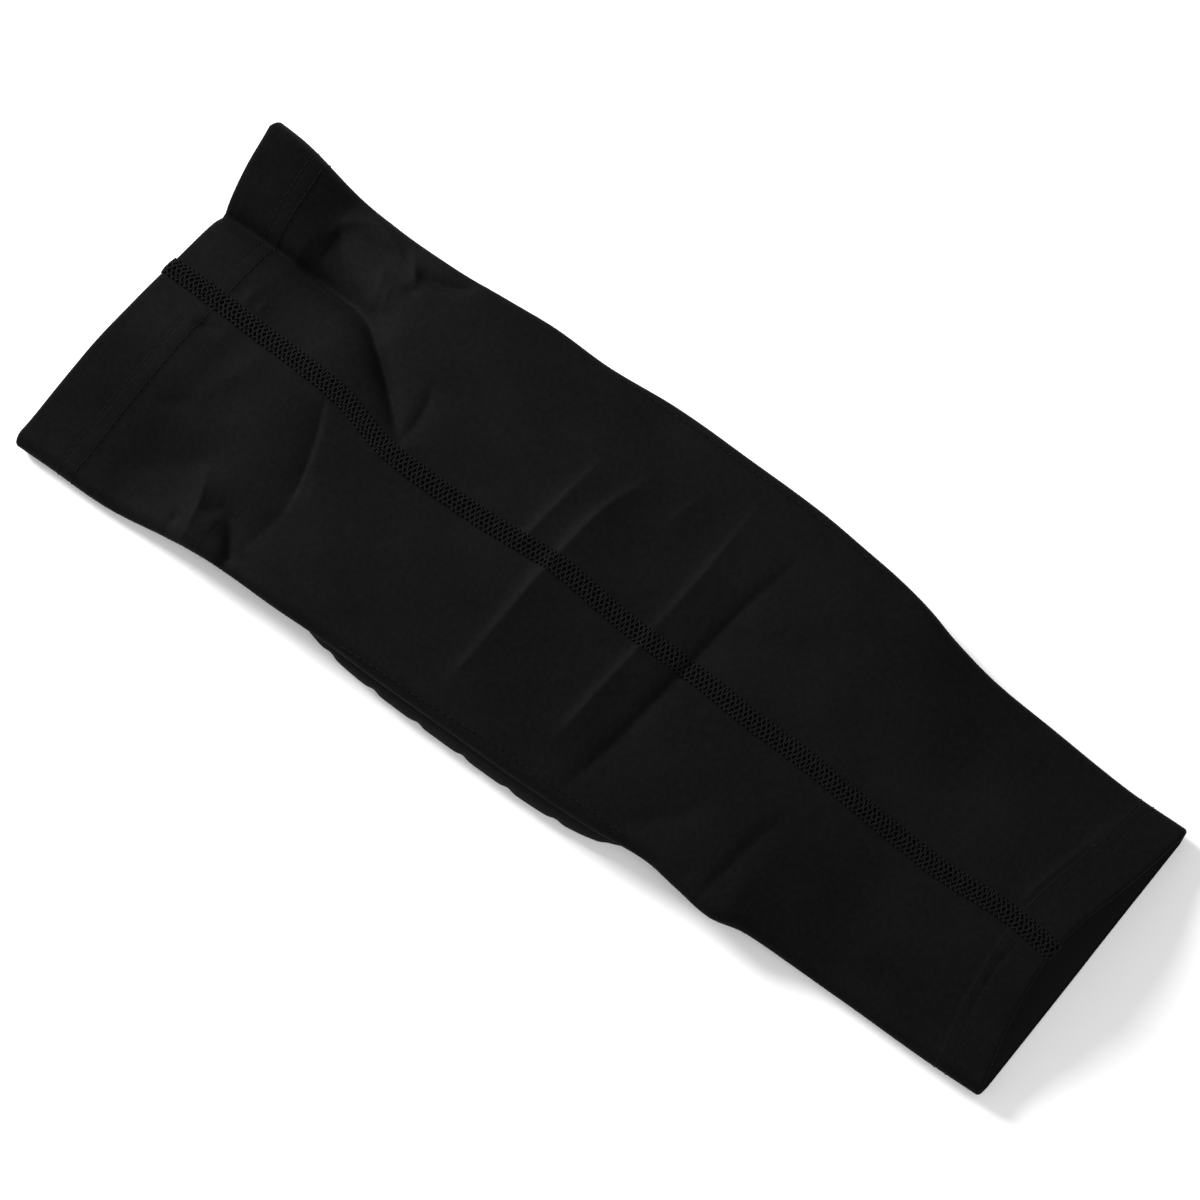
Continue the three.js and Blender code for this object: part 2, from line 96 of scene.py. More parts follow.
# Each fold: how far it spreads left and right of its run, how round its crest is, and then its run,
# as places in plan with the height at each, below zero for a valley
FOLDS = {
    "thigh crease": (9.0, 4.0, 0.8, (
        (30.9, 215, -5.6), (31.0, 180, -5.6), (31.6, 160, -5.4), (32.0, 142, -5.0), (32.0, 132, -4.6),
        (31.2, 122, -4.2), (29, 114.5, -3.8), (25, 108.4, -3.2), (20, 101.8, -2.7), (14, 94.4, -2.1),
        (8, 87.6, -1.3), (1.5, 81, 0.0),
    )),
    "crease core": (1.6, 2.2, 0.7, (
        (31.1, 215, -2.2), (31.2, 180, -2.2), (31.7, 160, -2.2), (32.1, 142, -2.0), (32.1, 132, -1.6),
        (31.3, 122, -1.2), (29.1, 114.5, -1.3), (25, 108.4, -1.9), (20, 101.8, -2.5), (14, 94.4, -2.3),
        (8, 87.6, -1.6), (1.5, 81, 0.0),
    )),
    "pocket": (6.0, 5.0, 1.2, (
        (34, 146, 0.0), (33.6, 138, -2.6), (33, 129, -3.6), (31.6, 119, -2.8), (29.8, 112.5, -1.8),
        (25, 106, 0.0),
    )),
    "flap rise": (6.0, 13.0, 1.5, (
        (66, 196, 4.5), (66, 166, 4.2), (64, 152, 3.0), (62, 141, 0.0),
    )),
    "slot": (5.0, 1.4, 0.4, (
        (52, 141.2, 0.0), (48.5, 140.7, -1.0), (45, 140.2, -1.1), (41, 139.7, -0.8), (36, 139.2, 0.0),
    )),
    "lobe valley": (1.2, 5.0, 0.5, (
        (48, 141, 0.0), (45, 137.5, -1.0), (40, 131.5, -1.2), (36, 126.3, -1.2), (33.6, 122, -1.0),
        (32, 118, 0.0),
    )),
    "lobe rim": (2.2, 2.4, 0.4, (
        (45.5, 142.3, 0.0), (48.5, 141.8, 0.8), (52, 140, 1.0), (54.6, 137, 0.9), (56.8, 133.5, 1.1),
        (57, 129.5, 1.5), (55.4, 124.8, 1.5), (53.6, 120.8, 1.0), (52, 117, 0.0),
    )),
    "lobe hollow": (1.8, 1.8, 0.6, (
        (52.3, 133, 0.0), (51.7, 128.5, -0.6), (51.2, 123, -0.7), (51.8, 118.5, 0.0),
    )),
    "lobe ridge": (1.6, 3.0, 0.35, (
        (33, 116.6, 0.0), (35.5, 117.2, 0.9), (39.5, 118.3, 0.9), (44, 119.8, 0.7), (48, 122.5, 0.0),
    )),
    "lobe foot": (1.4, 2.0, 0.4, (
        (33.4, 111.5, 0.0), (36.5, 113.6, 0.5), (40.5, 115.2, 0.5), (45, 116, 0.0),
    )),
    "side ridge": (1.2, 1.4, 0.3, (
        (46.5, 108.3, 0.0), (50, 111.4, 1.1), (53, 114, 1.2), (56.5, 118, 0.0),
    )),
    "side dent": (2.6, 1.0, 0.4, (
        (50.2, 111.5, 0.0), (51.1, 107.5, -1.5), (52.2, 103.5, -1.9), (54, 99, -1.7), (56.6, 95, -1.0),
        (60, 91, 0.0),
    )),
    "small dent": (1.1, 1.1, 0.3, (
        (45.6, 112.5, 0.0), (45.3, 109.6, -0.9), (46.2, 106, 0.0),
    )),
    "crease end": (1.4, 3.0, 0.4, (
        (1, 82.5, 0.0), (7, 81.8, -0.9), (14, 81.8, -1.0), (20, 83.2, -0.8), (25, 85.6, 0.0),
    )),
    "pull step": (0.8, 5.0, 0.25, (
        (0, 109.1, 0.0), (-3.5, 106.9, -0.9), (-10, 103.9, -1.3), (-17, 101.5, -1.4), (-22, 100.1, -1.3),
        (-29, 98.6, -0.9), (-36, 98.1, 0.0),
    )),
    "second pull step": (0.8, 4.0, 0.25, (
        (-18, 99.3, 0.0), (-21, 98.3, -0.5), (-25, 96.5, -0.5), (-29, 94.9, 0.0),
    )),
    "pull valley": (3.0, 2.5, 0.5, (
        (-31, 98, 0.0), (-36, 98.2, -0.6), (-42, 99.3, -0.8), (-47, 100.3, -0.6), (-52, 101.5, 0.0),
    )),
    "curl rim": (2.0, 4.5, 0.4, (
        (-61, 117.5, 0.0), (-56, 120, 1.8), (-51, 120.8, 2.8), (-45.5, 122.6, 2.6), (-41, 124.6, 1.6),
        (-36.5, 126.6, 0.0),
    )),
    "curl valley": (6.0, 2.2, 0.8, (
        (-52, 119.5, 0.0), (-49, 118, -1.0), (-46.7, 116.2, -1.8), (-45.8, 113.5, -2.4), (-46.6, 111, -2.8),
        (-49, 108.5, -3.0), (-52.5, 106, -3.2), (-57, 103.6, -3.4), (-62, 101.6, -2.8), (-67, 99.6, 0.0),
    )),
    "curl lobe": (4.0, 4.0, 2.5, (
        (-64, 116, 0.0), (-57, 116.5, 0.9), (-52, 115.5, 0.9), (-48.5, 114, 0.0),
    )),
    "curl pit": (1.2, 1.2, 0.4, (
        (-60, 126.5, 0.0), (-56.5, 125.5, -0.9), (-53, 125.2, 0.0),
    )),
    "edge streak": (1.8, 1.8, 0.5, (
        (-51, 103.5, 0.0), (-54.5, 99.5, -0.7), (-58, 94, -0.8), (-61, 87, 0.0),
    )),
    "long valley": (7.0, 8.0, 2.0, (
        (-57, 153, 0.0), (-50, 145, -0.9), (-42, 134.5, -1.2), (-34, 127.5, -1.0), (-25, 122, 0.0),
    )),
    "left ridge": (4.0, 7.0, 1.5, (
        (-26, 146, 0.0), (-18, 139.5, 0.7), (-9, 135.5, 0.8), (-2, 132.3, 0.5), (3, 130, 0.0),
    )),
    "left hollow": (2.5, 2.5, 1.0, (
        (-33, 153, 0.0), (-29, 149, -0.5), (-25.5, 144.5, -0.5), (-22, 140, 0.0),
    )),
    "hem pucker": (1.0, 1.8, 0.4, (
        (9.5, 147.6, 0.0), (13, 148, 0.6), (19, 147.2, 0.0),
    )),
    "second hem pucker": (1.0, 1.8, 0.4, (
        (9.5, 142.8, 0.0), (12.5, 143, 0.5), (17.5, 142.2, 0.0),
    )),
    "hem dart": (0.9, 0.9, 0.3, (
        (-3.4, 157.5, 0.0), (-3.1, 154.5, -1.0), (-2.6, 151.5, -1.1), (-1.4, 147, 0.0),
    )),
    "upper knee ridge": (1.5, 12.0, 0.3, (
        (-1, 32.6, 0.0), (2, 32.3, 1.2), (9, 31.8, 1.7), (19, 30.5, 1.4), (29, 29.2, 0.9), (39, 27.9, 0.0),
    )),
    "knee ridge": (1.6, 12.0, 0.3, (
        (-50, 26, 0.0), (-41, 24.8, 0.9), (-31, 23.8, 1.3), (-21, 23.1, 1.8), (-11, 22.5, 2.2), (-4, 22, 2.2),
        (3, 21.1, 2.0), (9, 20.5, 2.2), (19, 19.3, 2.2), (24, 18.3, 1.9), (29, 16.8, 1.4), (36, 14.3, 0.8),
        (43, 11.6, 0.0),
    )),
    "faint ridge": (1.6, 8.0, 0.4, (
        (28, 0.6, 0.0), (34, -0.6, 0.6), (40, -2, 0.6), (50, -5.3, 0.0),
    )),
    "lower ridge": (1.5, 12.0, 0.35, (
        (-45, -11.3, 0.0), (-34, -12.7, 1.4), (-26, -13.5, 1.8), (-16, -14.7, 1.6), (-8, -15.7, 1.3),
        (4, -16.5, 0.9), (14, -17.5, 1.3), (24, -18.2, 1.5), (34, -18.7, 1.1), (44, -19, 0.7), (57, -19, 0.0),
    )),
    "knee hollow": (2.2, 6.0, 0.5, (
        (-57, -21.3, 0.0), (-46, -24.2, -0.8), (-41, -25.2, -1.2), (-31, -27.2, -1.4), (-21, -28.7, -1.6),
        (-11, -30, -1.7), (-1, -31.5, -1.6), (9, -32.7, -1.4), (19, -33.9, -1.3), (29, -35.5, -1.0),
        (39, -37.7, -0.7), (53, -40.4, 0.0),
    )),
    "calf hollow": (3.5, 3.5, 1.5, (
        (-56, -36, 0.0), (-48, -47, -0.9), (-38, -57, -0.9), (-28, -63, 0.0),
    )),
    "calf edge dent": (3.0, 3.0, 1.0, (
        (-61, -63, 0.0), (-56, -66, -0.5), (-51, -68.5, -0.5), (-45, -71, 0.0),
    )),
    "calf dent": (1.8, 4.0, 0.5, (
        (-61, -74, 0.0), (-56, -75, -0.8), (-50, -76, -1.1), (-40, -77.5, -1.3), (-33, -78.8, -1.1),
        (-26, -80.6, -0.6), (-18, -82.8, 0.0),
    )),
    "calf streak": (1.5, 4.0, 0.6, (
        (-64, -83.5, 0.0), (-57, -83.6, 0.4), (-48, -83.6, 0.4), (-39, -84, 0.0),
    )),
    "calf hem lip": (0.8, 2.0, 0.25, (
        (-1, -154.6, 0.0), (3, -155, 0.5), (10, -156.3, 0.6), (20, -159, 0.6), (28, -161.2, 0.5),
        (36, -163, 0.3), (47, -165.2, 0.0),
    )),
    "calf hem crease": (0.7, 0.7, 0.25, (
        (-9, -160, 0.0), (-14, -160, -0.2), (-24, -159.8, -0.25), (-32, -160.8, -0.2), (-41, -161.9, 0.0),
    )),
}
FOLD_STEPS = 4  # straight pieces that a fold's run is measured on, from each point to the next
# The slack that the cloth keeps between its folds: wave lengths across and along, turn, height
SLACK_WAVES = ((41, 63, 0.4, 0.13), (-27, 44, 1.9, 0.09), (58, -31, 3.1, 0.09), (19, 23, 5.0, 0.04))

# Rows along the sleeve end at these places, with this step before them, closer where it folds
ROW_ZONES = (
    (-171, 1.4), (-150, 0.7), (-100, 1.7), (-45, 1.1), (38, 0.6),
    (80, 1.3), (96, 0.8), (110, 0.55), (166, 0.7), (THIGH_HEM - HEM_WALL / 2, 1.2),
)
SEAM_COLUMNS = 4  # columns on each half of the seam
BACK_STEPS = 55
BEND_STEPS = 8
FRONT_STEPS = 28
EDGE_STEPS = 7  # round the folded edge of a hem
INNER_STEP, HEM_INNER_STEP = 5, 2  # the inner face keeps every fifth row, and every second one in a hem
LAYER_MARGIN = 1.5  # those closer rows go on past the layer by this
EVENING_PASSES = 2  # how often the directions from outer to inner face are evened out


def smooth(t):
    t = np.clip(t, 0.0, 1.0)
    return t * t * (3.0 - 2.0 * t)


def follow(table, column, at):
    """One column of a table, on a smooth curve through its rows, at values of its first column."""
    keys, values = table[:, 0], table[:, column]
    slopes = np.empty(len(keys))
    slopes[1:-1] = (values[2:] - values[:-2]) / (keys[2:] - keys[:-2])
    slopes[0] = (values[1] - values[0]) / (keys[1] - keys[0])
    slopes[-1] = (values[-1] - values[-2]) / (keys[-1] - keys[-2])
    i = np.clip(np.searchsorted(keys, at) - 1, 0, len(keys) - 2)
    span = keys[i + 1] - keys[i]
    t = (at - keys[i]) / span
    return (
        (2 * t**3 - 3 * t**2 + 1) * values[i]
        + (t**3 - 2 * t**2 + t) * span * slopes[i]
        + (3 * t**2 - 2 * t**3) * values[i + 1]
        + (t**3 - t**2) * span * slopes[i + 1]
    )


def front_height(x, along):
    """How high the underside of the front wall lies: on the pad, or where the thigh corner curls up."""
    up = smooth((along - CALF_FLOOR) / (CALF_PAD - CALF_FLOOR))
    down = smooth((along - THIGH_PAD) / (THIGH_FLOOR - THIGH_PAD))
    corner = smooth((x - CURL_START[0]) / CURL_REACH[0]) * smooth((along - CURL_START[1]) / CURL_REACH[1])
    return PAD_STACK * up * (1 - down) + CURL_RISE * corner


def row_along(along, x, wall):
    """Where a row lies at a place across, because the edges of the hems aren't straight."""
    at_thigh = smooth((along - THIGH_HEM + EDGE_REACH) / EDGE_REACH)
    at_calf = smooth((CALF_HEM + EDGE_REACH - along) / EDGE_REACH)
    return along + at_thigh * follow(THIGH_EDGE, wall, x) + at_calf * follow(CALF_EDGE, wall, x)


def fold_relief(x, y):
    """Height that the folds add to the smooth back at places in plan."""
    total = np.zeros(np.broadcast(x, y).shape)
    for reach_left, reach_right, crest, points in FOLDS.values():
        spans = len(points) - 1
        table = np.column_stack([np.arange(spans + 1), points])
        at = np.linspace(0, spans, FOLD_STEPS * spans + 1)
        run = np.stack([follow(table, column, at) for column in (1, 2, 3)], 1)
        nearest = np.full(total.shape, np.inf)
        height = np.zeros(total.shape)
        side = np.ones(total.shape)
        for here, after in zip(run, run[1:]):
            step = after - here
            dx, dy = x - here[0], y - here[1]
            share = np.clip((dx * step[0] + dy * step[1]) / (step[0] ** 2 + step[1] ** 2), 0, 1)
            gap = np.hypot(dx - share * step[0], dy - share * step[1])
            closer = gap < nearest
            nearest = np.where(closer, gap, nearest)
            height = np.where(closer, here[2] + share * step[2], height)
            side = np.where(closer, np.sign(step[0] * dy - step[1] * dx), side)
        rounded = np.sqrt(nearest**2 + crest**2)
        left = 0.5 + 0.5 * side * nearest / rounded
        spread = crest - rounded
        total += height * (left * np.exp(spread / reach_left) + (1 - left) * np.exp(spread / reach_right))
    for across, along, turn, high in SLACK_WAVES:
        total += high * np.sin(2 * np.pi * (x / across + y / along) + turn)
    return total


def hem_relief(along):
    """A hem is double, so it stands a little higher, and its twin rows of stitches pull the cloth in."""
    total = np.zeros(along.shape)
    for depth, rows in ((THIGH_HEM - along, THIGH_STITCH_ROWS), (along - CALF_HEM, CALF_STITCH_ROWS)):
        for row in rows:
            total -= STITCH_PULL * np.exp(-(((depth - row) / STITCH_GROOVE) ** 2))
        total += HEM_STEP * smooth((rows[1] + HEM_STEP_WIDTH - depth) / HEM_STEP_WIDTH)
    return total


def sleeve_face(along):
    """Rows of the outer face, each from the seam to the right, under the front wall and back to the seam."""
    a = along[:, None]
    left, right, seam, rise = (follow(SECTIONS, column, a) for column in (1, 2, 3, 4))
    left, right = left + SIDE_RADIUS, right - SIDE_RADIUS
    near = SEAM_HALF_WIDTH * np.arange(1, SEAM_COLUMNS + 1) / SEAM_COLUMNS
    far = np.arange(1, BACK_STEPS) / BACK_STEPS
    turn = np.arange(BEND_STEPS + 1) / BEND_STEPS
    across = np.arange(1, FRONT_STEPS) / FRONT_STEPS
    near_right, near_left = seam + SEAM_HALF_WIDTH, seam - SEAM_HALF_WIDTH
    base = np.hstack([
        seam, seam + near, near_right + far * (right - near_right), np.repeat(right, BEND_STEPS + 1, 1),
        right + across * (left - right), np.repeat(left, BEND_STEPS + 1, 1),
        left + (1 - far[::-1]) * (near_left - left), seam - near[::-1],
    ])
    back = np.zeros(SEAM_COLUMNS + BACK_STEPS - 1)
    turns = np.hstack([[0], back, turn, np.ones(FRONT_STEPS - 1), turn[::-1], back])
    outward = np.hstack([[0], back, np.ones(BEND_STEPS + 1), 0 * across, -np.ones(BEND_STEPS + 1), back])
    place = (2 * base - left - right) / (right - left)
    bow = np.maximum(0, 1 - place**2) ** BACK_ROUNDNESS
    y = (1 - turns) * row_along(a, base, 1) + turns * row_along(a, base, 2)
    relief = rise * bow + fold_relief(base, y) + hem_relief(a)
    x = base + outward * SIDE_RADIUS * np.sin(np.pi * turns)
    z = front_height(base, a) + SIDE_RADIUS * (1 + np.cos(np.pi * turns)) + relief * (1 - turns) ** 2
    return np.stack([x, y, z], 2)


def unit(vectors):
    return vectors / np.linalg.norm(vectors, axis=-1, keepdims=True)


def face_normals(face):
    across = np.roll(face, -1, 1) - np.roll(face, 1, 1)
    return unit(np.cross(across, np.gradient(face, axis=0)))


def wall_of(along):
    """How thick the cloth is: double in the hems."""
    depth_left = np.maximum(THIGH_HEM_DEPTH - (THIGH_HEM - along), CALF_HEM_DEPTH - (along - CALF_HEM))
    return CLOTH + (HEM_WALL - CLOTH) * smooth(depth_left / LAYER_EDGE + 0.5)


def rounded_edge(point, out, past):
    """The folded edge of a hem, half a turn from the outer to the inner face, past the last row."""
    turn = np.linspace(0, np.pi, EDGE_STEPS + 1)[1:-1, None, None]
    middle = point - out * HEM_WALL / 2
    return middle + HEM_WALL / 2 * (np.cos(turn) * out + np.sin(turn) * past)


rows = [CALF_HEM + HEM_WALL / 2]
for end, step in ROW_ZONES:
    rows.extend(np.linspace(rows[-1], end, math.ceil((end - rows[-1]) / step) + 1)[1:])
rows = np.array(rows)
outer = sleeve_face(rows)
soft_out = face_normals(outer)
for _ in range(EVENING_PASSES):
    soft_out = soft_out + np.roll(soft_out, 1, 1) + np.roll(soft_out, -1, 1)
    soft_out[1:-1] += soft_out[:-2] + soft_out[2:]
soft_out = unit(soft_out)
number = np.arange(len(rows))
in_hem = (rows > THIGH_HEM - THIGH_HEM_DEPTH - LAYER_MARGIN) | (rows < CALF_HEM + CALF_HEM_DEPTH + LAYER_MARGIN)
kept = np.flatnonzero((number % INNER_STEP == 0) | (in_hem & (number % HEM_INNER_STEP == 0)))
kept = np.union1d(kept, number[-1:])[::-1]
inner = outer[kept] - wall_of(rows[kept])[:, None, None] * soft_out[kept]
thigh_edge = rounded_edge(outer[-1], soft_out[-1], unit(outer[-1] - outer[-2]))
calf_edge = rounded_edge(outer[0], soft_out[0], unit(outer[0] - outer[1]))[::-1]
sleeve_points = np.concatenate([outer, thigh_edge, inner, calf_edge])
sleeve_points[..., 2] = np.maximum(sleeve_points[..., 2], 0)  # the hems are pressed flat on the floor


def grid_faces(rows_count, columns_count, closed_rows, closed_columns):
    index = np.arange(rows_count * columns_count).reshape(rows_count, columns_count)
    index = np.vstack([index, index[:1]]) if closed_rows else index
    index = np.hstack([index, index[:, :1]]) if closed_columns else index
    corners = (index[:-1, :-1], index[:-1, 1:], index[1:, 1:], index[1:, :-1])
    return np.stack(corners, 2).reshape(-1, 4)


def new_piece(name, points, faces, material, edges=()):
    mesh = bpy.data.meshes.new(name)
    mesh.from_pydata((np.asarray(points, float).reshape(-1, 3) * MM).tolist(), list(edges), faces)
    mesh.polygons.foreach_set("use_smooth", [True] * len(mesh.polygons))
    if material:
        mesh.materials.append(material)
    piece = bpy.data.objects.new(name, mesh)
    bpy.context.scene.collection.objects.link(piece)
    return piece


def set_vectors(piece, name, values):
    layer = piece.data.attributes.new(name, "FLOAT_VECTOR", "POINT")
    layer.data.foreach_set("vector", np.asarray(values, float).ravel())


def linear(hex_colour):
    channels = [int(hex_colour[k : k + 2], 16) / 255 for k in (1, 3, 5)]
    return [c / 12.92 if c <= 0.04045 else ((c + 0.055) / 1.055) ** 2.4 for c in channels] + [1.0]


def new_material(name):
    """A material, and its tree with nothing in it yet."""
    material = bpy.data.materials.new(name)
    material.use_nodes = True
    material.node_tree.nodes.clear()
    return material, material.node_tree


def node(tree, kind, inputs=(), **settings):
    """Adds a node with its settings, and links or sets its inputs."""
    made = tree.nodes.new(kind)
    for name, value in settings.items():
        setattr(made, name, value)
    for key, value in dict(inputs).items():
        if isinstance(value, bpy.types.NodeSocket):
            tree.links.new(value, made.inputs[key])
        else:
            made.inputs[key].default_value = value
    return made


# Warp-knit nylon with elastane, dyed black: matt, with a faint sheen and a fine rib along the leg.
# Its wales are really about 0.45 mm apart; they are drawn twice as wide here, so that they show.
# The inner face is painted a shade lighter: painted light for the inside at the open ends, which lies in the
# back wall's shade.
KNIT_SHADES, PAINTED_LIGHT_INSIDE_SHADE = ("#070707", "#0e0e0e"), "#131313"
WALE, COURSE = 0.9, 0.8
YARN, YARN_SHARE = 1.6, 0.55  # size of the uneven spots in the yarn's dye, and their share in the tone
WEAR, WEAR_SHARE = 34.0, 0.45  # the same for spots of wear
INSIDE_SHIFT = 9.7  # the rows of loops on the inner face don't lie under those of the outer one
stretch_knit, tree = new_material("black nylon elastane knit")
lie = node(tree, "ShaderNodeAttribute", attribute_name="knit_lie")
lie = node(tree, "ShaderNodeSeparateXYZ", {0: lie.outputs["Vector"]})
wale = node(tree, "ShaderNodeMath", {0: lie.outputs["X"], 1: WALE}, operation="DIVIDE")
share = node(tree, "ShaderNodeMath", {0: wale.outputs[0]}, operation="FRACT")
slant = node(tree, "ShaderNodeMath", {0: share.outputs[0], 1: 0.5}, operation="SUBTRACT")
slant = node(tree, "ShaderNodeMath", {0: slant.outputs[0]}, operation="ABSOLUTE")
course = node(tree, "ShaderNodeMath", {0: lie.outputs["Y"], 1: COURSE}, operation="DIVIDE")
course = node(tree, "ShaderNodeMath", {0: course.outputs[0], 1: slant.outputs[0]}, operation="ADD")
loop = node(tree, "ShaderNodeMath", {0: course.outputs[0], 1: 2 * math.pi}, operation="MULTIPLY")
loop = node(tree, "ShaderNodeMath", {0: loop.outputs[0]}, operation="SINE")
rib = node(tree, "ShaderNodeMath", {0: wale.outputs[0], 1: 2 * math.pi}, operation="MULTIPLY")
rib = node(tree, "ShaderNodeMath", {0: rib.outputs[0]}, operation="COSINE")
relief = node(tree, "ShaderNodeMath", {0: loop.outputs[0], 1: rib.outputs[0]}, operation="SUBTRACT")
relief = node(tree, "ShaderNodeMapRange", {"Value": relief.outputs[0], "From Min": -2.0, "From Max": 2.0})
spot = node(tree, "ShaderNodeTexCoord")
yarn = node(tree, "ShaderNodeTexNoise", {
    "Vector": spot.outputs["Object"], "Scale": 1 / (YARN * MM), "Detail": 3.0,
})
wear = node(tree, "ShaderNodeTexNoise", {
    "Vector": spot.outputs["Object"], "Scale": 1 / (WEAR * MM), "Detail": 2.0,
})
tone = node(tree, "ShaderNodeMath", {0: yarn.outputs["Fac"], 1: YARN_SHARE}, operation="MULTIPLY")
tone = node(tree, "ShaderNodeMath", {
    0: wear.outputs["Fac"], 1: WEAR_SHARE, 2: tone.outputs[0],
}, operation="MULTIPLY_ADD")
tone = node(tree, "ShaderNodeMapRange", {"Value": tone.outputs[0], "From Min": 0.3, "From Max": 0.7})
colour = node(tree, "ShaderNodeMix", {
    "Factor": tone.outputs["Result"], 6: linear(KNIT_SHADES[0]), 7: linear(KNIT_SHADES[1]),
}, data_type="RGBA")
# Painted light: the inner face is mixed to a lighter shade
colour = node(tree, "ShaderNodeMix", {
    "Factor": lie.outputs["Z"], 6: colour.outputs[2], 7: linear(PAINTED_LIGHT_INSIDE_SHADE),
}, data_type="RGBA")
rough = node(tree, "ShaderNodeMapRange", {
    "Value": relief.outputs["Result"], "To Min": 0.82, "To Max": 0.66,
})
bump = node(tree, "ShaderNodeBump", {
    "Height": relief.outputs["Result"], "Strength": 0.22, "Distance": 0.1 * MM,
})
shader = node(tree, "ShaderNodeBsdfPrincipled", {
    "Base Color": colour.outputs[2], "Roughness": rough.outputs["Result"], "Normal": bump.outputs["Normal"],
    "Specular IOR Level": 0.025, "Sheen Weight": 0.01, "Sheen Roughness": 0.3,
})
node(tree, "ShaderNodeOutputMaterial", {"Surface": shader.outputs["BSDF"]})

sleeve_cloth = new_piece(
    "sleeve_cloth", sleeve_points, grid_faces(*sleeve_points.shape[:2], True, True).tolist(), stretch_knit
)
# How each point lies in the knit: how far round, how far along, and whether it is on the inner face, which gets
# the painted light
girth = np.linalg.norm(np.diff(outer, axis=1), axis=2).cumsum(1)
girth = np.hstack([np.zeros((len(rows), 1)), girth])
turned = np.ones((len(thigh_edge), 1))
around = np.vstack([girth, turned * girth[-1], girth[kept], turned * girth[0]])
edge_rows = np.linspace(0, HEM_WALL, len(thigh_edge))
length = np.hstack([rows, rows[-1] + edge_rows, rows[kept] + INSIDE_SHIFT, rows[0] - edge_rows[::-1]])
lies = np.stack([around, np.broadcast_to(length[:, None], around.shape), 0 * around], 2)
# the inner face is marked here for its painted light
lies[len(outer) + len(thigh_edge) : len(sleeve_points) - len(calf_edge), :, 2] = 1
set_vectors(sleeve_cloth, "knit_lie", lies)
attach(sleeve_cloth, "root")
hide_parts("sleeve_back_right", "sleeve_front", "sleeve_back_left", "thigh_hem", "calf_hem")

# Back seam: a flatlock seam of four needles, a raised band of looped polyester thread over the two cut edges.
# It runs the whole length of the back and goes over both folded hems, a little way inside.
SEAM_CROWN = 0.4
SEAM_SQUARENESS = 4  # exponent of the band's section: a flat crown that drops at its edges
SEAM_EDGE_DROP = 0.15  # the band's edges are bedded this far in the knit
SEAM_UNDERSIDE = 0.1  # and its underside lies this far below them
SEAM_INSIDE_ROWS = 5
SEAM_THREAD_ROWS = (-2.34, -0.78, 0.78, 2.34)
SEAM_PITCH, SEAM_STITCH = 1.7, 1.78  # from stitch to stitch, and the length of one
SEAM_THREAD, SEAM_BOW = 0.6, 0.15  # how thick the thread is, and how far a stitch bows up
SEAM_LEAN = 1.07  # turn of a stitch from the seam's run
SEAM_UNEVENNESS = 0.3  # how much that turn changes
SEAM_THREAD_LIFT = 0.08  # the stitches lie this far over the band
SEAM_PATH_STEP = 0.8

# Textured polyester thread, dyed black: soft filaments that catch the light on the crown of each stitch.
THREAD_SHADES = ("#050505", "#151515")
STRAND = 0.9  # size of a tuft of filaments
seam_thread, tree = new_material("black textured polyester thread")
spot = node(tree, "ShaderNodeTexCoord")
strand = node(tree, "ShaderNodeTexNoise", {
    "Vector": spot.outputs["Object"], "Scale": 1 / (STRAND * MM), "Detail": 4.0,
})
colour = node(tree, "ShaderNodeMix", {
    "Factor": strand.outputs["Fac"], 6: linear(THREAD_SHADES[0]), 7: linear(THREAD_SHADES[1]),
}, data_type="RGBA")
rough = node(tree, "ShaderNodeMapRange", {"Value": strand.outputs["Fac"], "To Min": 0.7, "To Max": 0.5})
bump = node(tree, "ShaderNodeBump", {"Height": strand.outputs["Fac"], "Strength": 0.4, "Distance": 0.08 * MM})
shader = node(tree, "ShaderNodeBsdfPrincipled", {
    "Base Color": colour.outputs[2], "Roughness": rough.outputs["Result"], "Normal": bump.outputs["Normal"],
    "Specular IOR Level": 0.03, "Sheen Weight": 0.002, "Sheen Roughness": 0.4,
})
node(tree, "ShaderNodeOutputMaterial", {"Surface": shader.outputs["BSDF"]})

# The loops under the crossed threads are black thread, drawn in its darkest shade and without gloss: painted
# shade for the shadow of the crossed threads.
painted_shade_looper_thread, tree = new_material("black looper thread in painted shade")
shader = node(tree, "ShaderNodeBsdfPrincipled", {
    "Base Color": linear(THREAD_SHADES[0]), "Roughness": 0.9, "Specular IOR Level": 0.0,
})
node(tree, "ShaderNodeOutputMaterial", {"Surface": shader.outputs["BSDF"]})

# Stitches along paths: bowed threads, half as thick at their ends, each laid on the cloth under it.
STITCH_STEPS, STITCH_SIDES = 4, 6
stitch_tree = bpy.data.node_groups.new("sewn stitches", "GeometryNodeTree")
stitch_tree.interface.new_socket("Path", in_out="INPUT", socket_type="NodeSocketGeometry")
for name in ("Pitch", "Stitch length", "Thread thickness", "Bow", "Lean", "Unevenness"):
    stitch_tree.interface.new_socket(name, in_out="INPUT", socket_type="NodeSocketFloat")
stitch_tree.interface.new_socket("Thread", in_out="INPUT", socket_type="NodeSocketMaterial")
stitch_tree.interface.new_socket("Stitches", in_out="OUTPUT", socket_type="NodeSocketGeometry")
given = node(stitch_tree, "NodeGroupInput").outputs
half = node(stitch_tree, "ShaderNodeMath", {0: given["Stitch length"], 1: 0.5}, operation="MULTIPLY")
minus_half = node(stitch_tree, "ShaderNodeMath", {0: given["Stitch length"], 1: -0.5}, operation="MULTIPLY")
